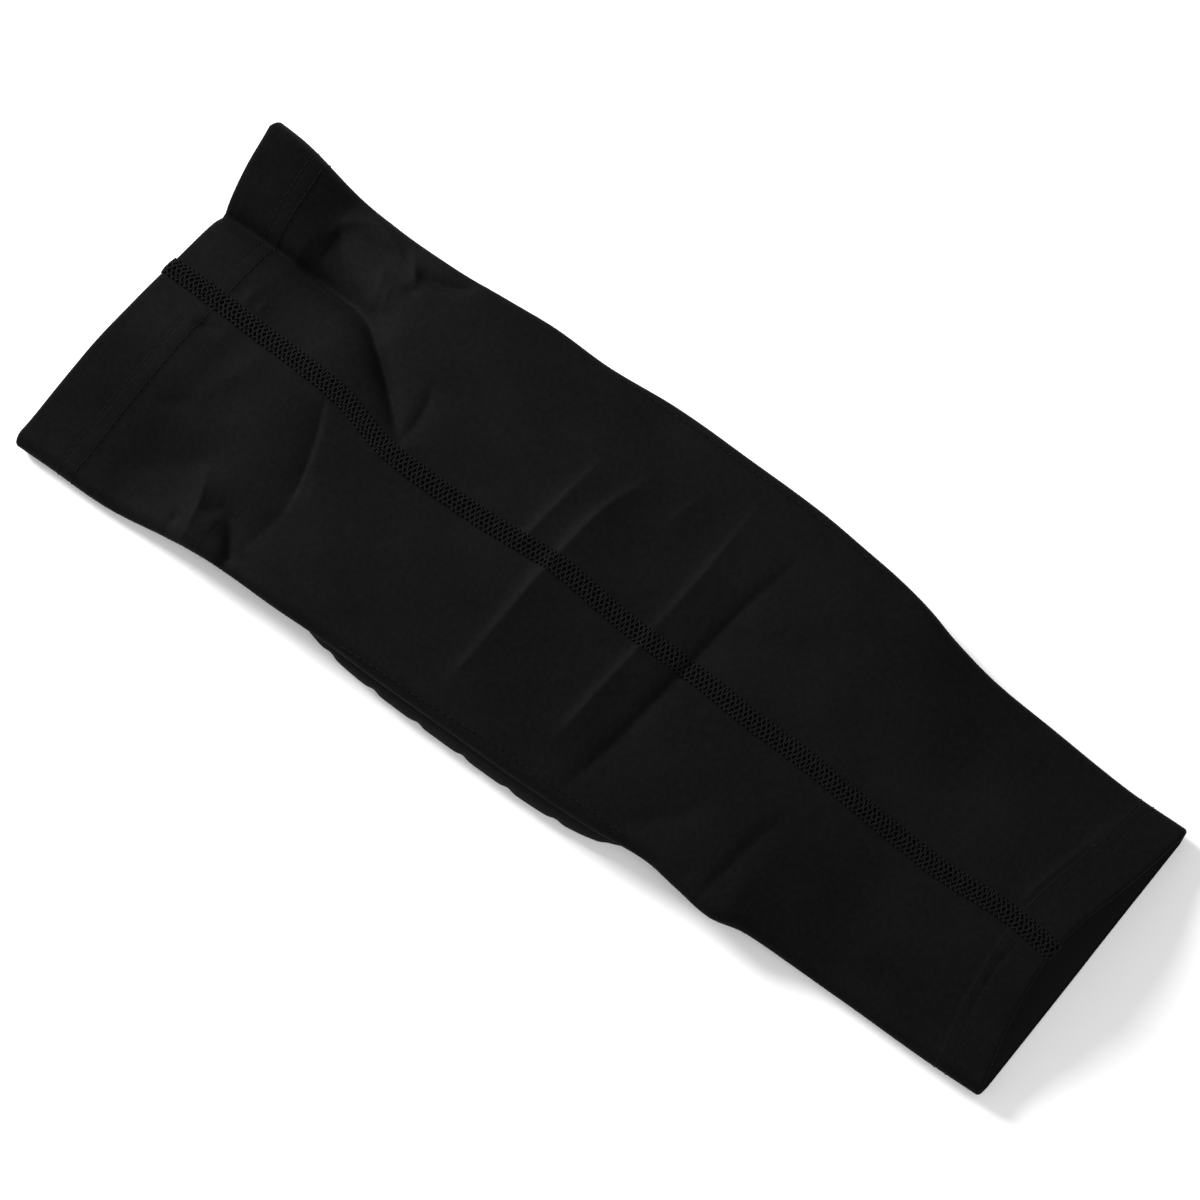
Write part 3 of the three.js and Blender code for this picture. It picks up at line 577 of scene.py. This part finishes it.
# The middle handle of the curve stands twice as high as the curve's own crown
bow = node(stitch_tree, "ShaderNodeMath", {0: given["Bow"], 1: 2.0}, operation="MULTIPLY")
start = node(stitch_tree, "ShaderNodeCombineXYZ", {"X": minus_half.outputs[0]})
middle = node(stitch_tree, "ShaderNodeCombineXYZ", {"Z": bow.outputs[0]})
end = node(stitch_tree, "ShaderNodeCombineXYZ", {"X": half.outputs[0]})
thread_line = node(stitch_tree, "GeometryNodeCurveQuadraticBezier", {
    "Resolution": STITCH_STEPS, "Start": start.outputs[0], "Middle": middle.outputs[0], "End": end.outputs[0],
})
share = node(stitch_tree, "GeometryNodeSplineParameter")
swell = node(stitch_tree, "ShaderNodeMath", {0: share.outputs["Factor"], 1: math.pi}, operation="MULTIPLY")
swell = node(stitch_tree, "ShaderNodeMath", {0: swell.outputs[0]}, operation="SINE")
swell = node(stitch_tree, "ShaderNodeMath", {0: swell.outputs[0], 1: 0.5, 2: 0.5}, operation="MULTIPLY_ADD")
thread_line = node(stitch_tree, "GeometryNodeSetCurveRadius", {
    "Curve": thread_line.outputs[0], "Radius": swell.outputs[0],
})
radius = node(stitch_tree, "ShaderNodeMath", {0: given["Thread thickness"], 1: 0.5}, operation="MULTIPLY")
girth_line = node(stitch_tree, "GeometryNodeCurvePrimitiveCircle", {
    "Resolution": STITCH_SIDES, "Radius": radius.outputs[0],
})
thread_shape = node(stitch_tree, "GeometryNodeCurveToMesh", {
    "Curve": thread_line.outputs[0], "Profile Curve": girth_line.outputs[0], "Fill Caps": True,
})
path = node(stitch_tree, "GeometryNodeMeshToCurve", {0: given["Path"]})
path = node(stitch_tree, "GeometryNodeResampleCurve", {
    "Curve": path.outputs[0], "Length": given["Pitch"],
}, mode="LENGTH")
cloth_out = node(stitch_tree, "GeometryNodeInputNamedAttribute", {
    "Name": "cloth_out",
}, data_type="FLOAT_VECTOR")
run = node(stitch_tree, "GeometryNodeInputTangent")
upright = node(stitch_tree, "FunctionNodeAlignRotationToVector", {"Vector": cloth_out.outputs[0]}, axis="Z")
laid = node(stitch_tree, "FunctionNodeAlignRotationToVector", {
    "Rotation": upright.outputs[0], "Vector": run.outputs[0],
}, axis="X", pivot_axis="Z")
lean_side = node(stitch_tree, "GeometryNodeInputNamedAttribute", {"Name": "lean_side"}, data_type="FLOAT")
lean = node(stitch_tree, "ShaderNodeMath", {0: given["Lean"], 1: lean_side.outputs[0]}, operation="MULTIPLY")
chance = node(stitch_tree, "FunctionNodeRandomValue", {2: -1.0, 3: 1.0, "Seed": 4})
lean = node(stitch_tree, "ShaderNodeMath", {
    0: chance.outputs[1], 1: given["Unevenness"], 2: lean.outputs[0],
}, operation="MULTIPLY_ADD")
lean = node(stitch_tree, "FunctionNodeAxisAngleToRotation", {"Axis": (0, 0, 1), "Angle": lean.outputs[0]})
laid = node(stitch_tree, "FunctionNodeRotateRotation", {
    "Rotation": laid.outputs[0], "Rotate By": lean.outputs[0],
}, rotation_space="LOCAL")
stitches = node(stitch_tree, "GeometryNodeInstanceOnPoints", {
    "Points": path.outputs[0], "Instance": thread_shape.outputs[0], "Rotation": laid.outputs[0],
})
stitches = node(stitch_tree, "GeometryNodeRealizeInstances", {0: stitches.outputs[0]})
stitches = node(stitch_tree, "GeometryNodeSetShadeSmooth", {0: stitches.outputs[0]})
stitches = node(stitch_tree, "GeometryNodeSetMaterial", {
    "Geometry": stitches.outputs[0], "Material": given["Thread"],
})
node(stitch_tree, "NodeGroupOutput", {0: stitches.outputs[0]})


def sew(name, paths, sizes):
    """Stitches along paths, each with points, the cloth's outward directions, its lean and whether it closes."""
    edges, first = [], 0
    for points, _, _, closed in paths:
        count = len(points)
        edges += [(first + k, first + (k + 1) % count) for k in range(count if closed else count - 1)]
        first += count
    seam_path = new_piece(name, np.concatenate([p[0] for p in paths]), [], None, edges)
    set_vectors(seam_path, "cloth_out", np.concatenate([p[1] for p in paths]))
    leans = seam_path.data.attributes.new("lean_side", "FLOAT", "POINT")
    leans.data.foreach_set("value", np.concatenate([np.full(len(p[0]), p[2]) for p in paths]))
    modifier = seam_path.modifiers.new("sewn stitches", "NODES")
    modifier.node_group = stitch_tree
    for item in stitch_tree.interface.items_tree:
        if item.name in sizes:
            modifier[item.identifier] = sizes[item.name]
        elif item.name == "Thread":
            modifier[item.identifier] = seam_thread
    mesh = bpy.data.meshes.new_from_object(seam_path.evaluated_get(bpy.context.evaluated_depsgraph_get()))
    mesh.name = name
    seam_path.modifiers.remove(modifier)
    seam_path.data = mesh
    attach(seam_path, "root")
    return seam_path


# The band takes the columns of the sleeve nearest to its seam, over the edges and a few rows inside
first_inside = len(outer) + len(thigh_edge)
last_inside = first_inside + len(inner)
seam_order = np.hstack([
    np.arange(last_inside - SEAM_INSIDE_ROWS, len(sleeve_points)), np.arange(first_inside + SEAM_INSIDE_ROWS),
])
seam_columns = np.arange(-SEAM_COLUMNS, SEAM_COLUMNS + 1)
seam_bed = sleeve_points[seam_order][:, seam_columns]
seam_across = seam_bed[:, 1:].sum(1) - seam_bed[:, :-1].sum(1)
seam_out = unit(np.cross(seam_across, np.gradient(seam_bed.mean(1), axis=0)))[:, None]
to_edge = (seam_columns / SEAM_COLUMNS) ** SEAM_SQUARENESS
crown = SEAM_CROWN * (1 - to_edge) - SEAM_EDGE_DROP * to_edge
band_top = seam_bed + crown[None, :, None] * seam_out
band_under = seam_bed[:, ::-1] - (SEAM_EDGE_DROP + SEAM_UNDERSIDE) * seam_out
band_points = np.concatenate([band_top, band_under], 1)
band_index = np.arange(band_points.size // 3).reshape(band_points.shape[:2])
band_faces = grid_faces(*band_index.shape, False, True).tolist()
band_faces += [band_index[0, ::-1].tolist(), band_index[-1].tolist()]
# The band carries the painted shade of the seam's bed.
back_seam = new_piece("back_seam_band", band_points, band_faces, painted_shade_looper_thread)
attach(back_seam, "root")
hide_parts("back_seam")


def run_along(points):
    """How far along a line each of its points lies."""
    return np.hstack([0, np.linalg.norm(np.diff(points, axis=0), axis=1).cumsum()])


def values_at(places, run, values):
    """Rows of values at places along a run."""
    return np.stack([np.interp(places, run, column) for column in values.T], 1)


# In each row the thread zigzags: stitches lean to one side, and others to the other side half a pitch on
seam_paths = []
for k, offset in enumerate(SEAM_THREAD_ROWS):
    column = SEAM_COLUMNS * (offset / SEAM_HALF_WIDTH + 1)
    low = min(int(column), 2 * SEAM_COLUMNS - 1)
    part = column - low
    line = (1 - part) * band_top[:, low] + part * band_top[:, low + 1]
    line = line + SEAM_THREAD_LIFT * seam_out[:, 0]
    run = run_along(line)
    for side in (1, -1):
        start = SEAM_PITCH * (0.25 if side == (-1) ** k else 0.75)
        at = np.arange(start, run[-1] + start - SEAM_PITCH, SEAM_PATH_STEP)
        seam_paths.append((values_at(at, run, line), values_at(at, run, seam_out[:, 0]), side, False))
seam_stitches = sew("back_seam_threads", seam_paths, {
    "Pitch": SEAM_PITCH * MM, "Stitch length": SEAM_STITCH * MM, "Thread thickness": SEAM_THREAD * MM,
    "Bow": SEAM_BOW * MM, "Lean": SEAM_LEAN, "Unevenness": SEAM_UNEVENNESS,
})

# Hem stitches: each turned-in end is held by twin rows of black polyester thread, sewn round on two needles.
# The stitches lie in the shallow grooves that they pull into the knit.
HEM_PITCH, HEM_STITCH = 2.9, 2.3
HEM_THREAD, HEM_BOW = 0.36, 0.1
HEM_UNEVENNESS = 0.12
HEM_STRIP = 0.4  # half of the narrow strip that gives a row its place and its outward directions
HEM_SINK = 0.1  # the thread is sunk into the knit by this
HEM_LOWEST = 0.65  # and lies no lower than this where the knit is pressed on the floor
hem_rows = [THIGH_HEM - depth for depth in THIGH_STITCH_ROWS]
hem_rows += [CALF_HEM + depth for depth in CALF_STITCH_ROWS]
hem_paths = []
for along in hem_rows:
    strip = sleeve_face(np.array([along - HEM_STRIP, along, along + HEM_STRIP]))
    outs = face_normals(strip)[1]
    line = strip[1] - HEM_SINK * outs
    line[:, 2] = np.maximum(line[:, 2], HEM_LOWEST)
    hem_paths.append((line, outs, 0, True))
hem_stitches = sew("hem_stitches", hem_paths, {
    "Pitch": HEM_PITCH * MM, "Stitch length": HEM_STITCH * MM, "Thread thickness": HEM_THREAD * MM,
    "Bow": HEM_BOW * MM, "Lean": 0.0, "Unevenness": HEM_UNEVENNESS,
})

# Knee pad: moulded foam, in hexagon cells on a thin backing, laminated with black tricot.
# It is sewn to the front of the sleeve along its sides and lies on the floor, with its cells down.
PAD_HALF_WIDTH, PAD_HALF_LENGTH = 63.6, 82.0
PAD_CENTRE = np.array([0.9, 16.0])
PAD_SQUARENESS = 4  # exponent of the superellipse that the pad is cut to
FINE_SIDES, RIM_STEP = 2000, 0.9  # sides of the outline as drawn, and the step of the rim's points on it
CUT_SIDES = 72  # of the outline that the cells are cut to
CELL_MARGIN = 1.4  # the backing stands out past the cells by this
CELL_PITCH, CELL_GAP = 17.2, 3.0
CELL_CORNER = 2.8
CORNER_SHARE = 0.75  # a small cell's corner has at most this share of the radius that fits in it
CORNER_STEP = math.radians(14)
SAME_POINT = 0.02  # corners closer than this are one
SMALLEST_CELL = 0.3  # a cell cut smaller than this share of a whole one is left out
FIRST_CELL = np.array([-57.0, 1.0])
CELL_COLUMNS, CELL_STEPS = range(9), range(-6, 8)  # the field of cells, across and along
NOTCH, NOTCH_WIDTH = 0.6, 1.8  # how far the rim dips in between two cells, and how far from a cell
ROOT_STEP = 0.5  # between the points of a cell's foot from which the rim's dips are measured
WEB_TOLERANCE = 1e-6
# The side of a cell from the backing to its face: how far it is drawn in, and its height off the floor
CELL_SIDE = (
    (-0.6, 5.4), (-0.25, 5.25), (0.0, 4.9), (0.12, 4.2), (0.28, 3.2), (0.5, 2.25),
    (0.85, 1.35), (1.3, 0.65), (1.85, 0.2), (2.5, 0.0),
)
# The edge of the backing, from its underside to its top: how far it is drawn in, and its height
BACKING_EDGE = (
    (0.5, 4.6), (0.15, 4.75), (0.0, 5.2), (0.1, 5.8), (0.45, 6.5),
    (1.0, 7.1), (1.7, 7.5), (2.6, 7.8), (4.0, 8.0), (7.0, 8.0),
)


def pad_outline(inset, sides):
    turn = 2 * np.pi * (np.arange(sides) + 0.5) / sides
    reach = lambda value: np.sign(value) * np.abs(value) ** (2 / PAD_SQUARENESS)
    x = (PAD_HALF_WIDTH - inset) * reach(np.cos(turn))
    y = (PAD_HALF_LENGTH - inset) * reach(np.sin(turn))
    return PAD_CENTRE + np.stack([x, y], 1)


def edge_outs(polygon):
    edges = np.roll(polygon, -1, 0) - polygon
    return unit(np.stack([edges[:, 1], -edges[:, 0]], 1))


def cut(polygon, points, outs):
    """What is left of a polygon inside the lines through points that face outs."""
    for point, out in zip(points, outs):
        past = (polygon - point) @ out
        left = []
        for k in range(len(polygon)):
            after = (k + 1) % len(polygon)
            if past[k] <= 0:
                left.append(polygon[k])
            if past[k] * past[after] < 0:
                left.append(polygon[k] + (polygon[after] - polygon[k]) * past[k] / (past[k] - past[after]))
        polygon = np.array(left)
        if len(polygon) < 3:
            return polygon
    return polygon


def area(polygon):
    after = np.roll(polygon, -1, 0)
    return 0.5 * abs(np.sum(polygon[:, 0] * after[:, 1] - polygon[:, 1] * after[:, 0]))


def without_doubles(polygon):
    return polygon[np.linalg.norm(polygon - np.roll(polygon, 1, 0), axis=1) > SAME_POINT]


def rounded_cell(polygon):
    """The core of a cell, and the directions from it to the points of its rounded outline."""
    girth_length = np.linalg.norm(polygon - np.roll(polygon, 1, 0), axis=1).sum()
    corner = min(CELL_CORNER, CORNER_SHARE * 2 * area(polygon) / girth_length)
    outs = edge_outs(polygon)
    core = without_doubles(cut(polygon, polygon - corner * outs, outs))
    outs = edge_outs(core)
    turns = np.arctan2(outs[:, 1], outs[:, 0])
    places, directions = [], []
    for k in range(len(core)):
        bend = (turns[k] - turns[k - 1]) % (2 * np.pi)
        count = max(1, round(bend / CORNER_STEP))
        for j in range(count + 1) if count > 1 else (0.5,):
            turn = turns[k - 1] + bend * j / count
            places.append(core[k])
            directions.append((math.cos(turn), math.sin(turn)))
    return np.array(places), np.array(directions), corner


cut_line = pad_outline(CELL_MARGIN, CUT_SIDES)
cut_outs = edge_outs(cut_line)
corner_turns = np.arange(6) * np.pi / 3
hexagon_reach = (CELL_PITCH - CELL_GAP) / 2 / math.cos(math.pi / 6)
hexagon = hexagon_reach * np.stack([np.cos(corner_turns), np.sin(corner_turns)], 1)
cells = []
for column in CELL_COLUMNS:
    for step in CELL_STEPS:
        across = column * CELL_PITCH * math.cos(math.pi / 6)
        centre = FIRST_CELL + (across, (step + column % 2 / 2) * CELL_PITCH)
        cell = cut(hexagon + centre, cut_line, cut_outs)
        if len(cell) > 2 and area(cell) > SMALLEST_CELL * area(hexagon):
            cells.append(rounded_cell(without_doubles(cell)))


def even_points(loop, step):
    """Points at even steps along a closed line."""
    ring = np.vstack([loop, loop[:1]])
    run = run_along(ring)
    places = np.linspace(0, run[-1], round(run[-1] / step) + 1)[:-1]
    return values_at(places, run, ring)


rim = even_points(pad_outline(0, FINE_SIDES), RIM_STEP)
rim_outs = edge_outs(rim)
roots = np.concatenate([
    even_points(places + corner * directions, ROOT_STEP) for places, directions, corner in cells
])
gap_to_cell = np.linalg.norm(rim[:, None] - roots[None], axis=2).min(1) - CELL_MARGIN
notch = NOTCH * smooth(gap_to_cell / NOTCH_WIDTH)
rim = rim - notch[:, None] * rim_outs

pad_points, pad_faces = [], []


def add_ring(plan, height):
    first = sum(map(len, pad_points))
    pad_points.append(np.column_stack([plan, np.broadcast_to(height, len(plan))]))
    return np.arange(first, first + len(plan))


def join_rings(upper, lower):
    after = np.roll(np.arange(len(upper)), -1)
    pad_faces.extend(np.stack([upper, lower, lower[after], upper[after]], 1).tolist())


edge_rings = [add_ring(rim - inset * rim_outs, height) for inset, height in BACKING_EDGE]
for under, over in zip(edge_rings, edge_rings[1:]):
    join_rings(over, under)
pad_faces.append(edge_rings[-1].tolist())
cell_roots = []
for places, directions, corner in cells:
    rings = []
    for inset, height in CELL_SIDE:
        inset = inset if inset < 0 else inset * corner / CELL_CORNER
        rings.append(add_ring(places + (corner - inset) * directions, height))
    for upper, lower in zip(rings, rings[1:]):
        join_rings(upper, lower)
    pad_faces.append(rings[-1][::-1].tolist())
    cell_roots.append(rings[0])
pad_points = np.concatenate(pad_points)
# The web between the cells fills the backing's underside, from the rim to the foot of each cell
web_loops = [edge_rings[0]] + cell_roots
web_index = np.concatenate(web_loops)
starts = np.cumsum([0] + [len(loop) for loop in web_loops])
web_polygons = [list(range(a, b)) for a, b in zip(starts, starts[1:])]
plan = [Vector(p) for p in pad_points[web_index, :2]]
_, _, web_faces, web_origins, _, web_inside = delaunay_2d_cdt(plan, [], web_polygons, 1, WEB_TOLERANCE)
for face, inside in zip(web_faces, web_inside):
    if inside == [0]:  # in the rim and in no cell
        pad_faces.append([int(web_index[web_origins[k][0]]) for k in reversed(face)])

# Nylon tricot laminated to foam: a fine matt mesh of small loops, with a little sheen on the rolled edges.
# Its loops are really about 0.6 mm apart; they are drawn at 1.1 mm, so that they show.
# Its two shades, mixed by the loops and the rubbed spots, are drawn lighter than the knit's black, though the
# real cover is as black: painted light for the pad's rim, which lies in the sleeve's shade.
PAINTED_LIGHT_TRICOT_SHADES = ("#1a1a1a", "#0c0c0c")
LOOP = 1.1
RUB = 22.0  # size of the spots that are rubbed a little smoother
pad_cover, tree = new_material("black nylon tricot on foam")
spot = node(tree, "ShaderNodeTexCoord")
loops = node(tree, "ShaderNodeTexVoronoi", {
    "Vector": spot.outputs["Object"], "Scale": 1 / (LOOP * MM), "Randomness": 0.25,
})
rub = node(tree, "ShaderNodeTexNoise", {
    "Vector": spot.outputs["Object"], "Scale": 1 / (RUB * MM), "Detail": 3.0,
})
tone = node(tree, "ShaderNodeMath", {0: loops.outputs["Distance"], 1: rub.outputs["Fac"]}, operation="MULTIPLY")
colour = node(tree, "ShaderNodeMix", {
    "Factor": tone.outputs[0], 6: linear(PAINTED_LIGHT_TRICOT_SHADES[0]), 7: linear(PAINTED_LIGHT_TRICOT_SHADES[1]),
}, data_type="RGBA")
rough = node(tree, "ShaderNodeMapRange", {"Value": rub.outputs["Fac"], "To Min": 0.85, "To Max": 0.65})
bump = node(tree, "ShaderNodeBump", {
    "Height": loops.outputs["Distance"], "Strength": 0.5, "Distance": 0.12 * MM,
}, invert=True)
shader = node(tree, "ShaderNodeBsdfPrincipled", {
    "Base Color": colour.outputs[2], "Roughness": rough.outputs["Result"], "Normal": bump.outputs["Normal"],
    "Specular IOR Level": 0.025, "Sheen Weight": 0.015, "Sheen Roughness": 0.4,
})
node(tree, "ShaderNodeOutputMaterial", {"Surface": shader.outputs["BSDF"]})
knee_pad = new_piece("knee_pad_foam", pad_points, pad_faces, pad_cover)
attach(knee_pad, "root")
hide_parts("knee_pad")

# Pad stitches: one row of lockstitch along each side holds the pad's edge to the sleeve, inside the side bend.
# The thread is the same black polyester as in the hems.
PAD_PITCH, PAD_STITCH = 2.6, 1.9
PAD_THREAD, PAD_BOW = 0.5, 0.12
PAD_UNEVENNESS = 0.12
PAD_THREAD_LIFT = 0.05  # the stitches lie this far over the knit
PAD_PATH_STEP = 1.0
OVER_SLEEVE = 60.0  # a height from which a row is set down on the knit
# Each row, from the calf up: how far along, and how far across
LEFT_ROW = (
    (-44.4, -53.9), (-32, -54), (-18, -54.7), (0, -54.8), (14, -55.9), (26, -56.8), (42, -57.2), (58, -58.1),
)
RIGHT_ROW = (
    (-60, 59.4), (-48, 60.6), (-38, 61.1), (-24, 61.4), (-11, 61.4),
    (3, 61.7), (16, 61.8), (29, 61.5), (40, 61.2),
)
sleeve_skin = BVHTree.FromPolygons(
    outer.reshape(-1, 3).tolist(), grid_faces(*outer.shape[:2], False, True).tolist()
)
pad_paths = []
for row in (LEFT_ROW, RIGHT_ROW):
    row = np.array(row, float)
    points, outs = [], []
    for along in np.arange(row[0, 0], row[-1, 0], PAD_PATH_STEP):
        above = Vector((follow(row, 1, along), along, OVER_SLEEVE))
        place, out, _, _ = sleeve_skin.ray_cast(above, Vector((0, 0, -1)))
        points.append(place + PAD_THREAD_LIFT * out)
        outs.append(out)
    pad_paths.append((np.array(points), np.array(outs), 0, False))
pad_stitches = sew("pad_stitches", pad_paths, {
    "Pitch": PAD_PITCH * MM, "Stitch length": PAD_STITCH * MM, "Thread thickness": PAD_THREAD * MM,
    "Bow": PAD_BOW * MM, "Lean": 0.0, "Unevenness": PAD_UNEVENNESS,
})

# Stage: a floor of matt white paper. One small light stands low past the thigh end, a weak broad one hangs over
# the calf, and even light comes from all round. The camera looks steeply down through a long lens.
FLOOR_REACH, FLOOR_DROP = 2500.0, 0.05
white_paper, tree = new_material("white paper floor")
shader = node(tree, "ShaderNodeBsdfPrincipled", {
    "Base Color": linear("#f4f4f4"), "Roughness": 0.9, "Specular IOR Level": 0.1,
})
node(tree, "ShaderNodeOutputMaterial", {"Surface": shader.outputs["BSDF"]})
sides = ((-1, -1), (1, -1), (1, 1), (-1, 1))
floor_corners = [(x * FLOOR_REACH, y * FLOOR_REACH, -FLOOR_DROP) for x, y in sides]
floor = new_piece("studio_floor", floor_corners, [(0, 1, 2, 3)], white_paper)

EVEN_LIGHT = 0.53
world = bpy.data.worlds.new("studio")
bpy.context.scene.world = world
world.use_nodes = True
world.node_tree.nodes.clear()
sky = node(world.node_tree, "ShaderNodeBackground", {"Color": (1, 1, 1, 1), "Strength": EVEN_LIGHT})
node(world.node_tree, "ShaderNodeOutputWorld", {"Surface": sky.outputs[0]})

# Each light: its width and place in metres, and its power in watts
for name, width, place, power in (
    ("key_light", 0.5, (0.2, 1.13, 0.6), 35),
    ("soft_light", 0.9, (-0.35, -0.5, 1.2), 6),
):
    light = bpy.data.objects.new(name, bpy.data.lights.new(name, "AREA"))
    light.data.shape = "DISK"
    light.data.size = width
    light.data.energy = power
    light.location = place
    light.rotation_euler = (-light.location).to_track_quat("-Z", "Y").to_euler()
    bpy.context.scene.collection.objects.link(light)

AZIMUTH, ELEVATION = math.radians(-53.7), math.radians(78)
CAMERA_DISTANCE = 1041.67
CAMERA_TARGET = Vector((3.25, 5.09, 0))
LENS, SENSOR = 100, 36
back = Vector((
    math.sin(AZIMUTH) * math.cos(ELEVATION), -math.cos(AZIMUTH) * math.cos(ELEVATION), math.sin(ELEVATION),
))
camera = bpy.data.objects.new("camera", bpy.data.cameras.new("camera"))
camera.data.lens = LENS
camera.data.sensor_width = SENSOR
camera.location = (CAMERA_TARGET + CAMERA_DISTANCE * back) * MM
camera.rotation_euler = back.to_track_quat("Z", "Y").to_euler()
bpy.context.scene.collection.objects.link(camera)
bpy.context.scene.camera = camera
bpy.context.scene.view_settings.view_transform = "Standard"
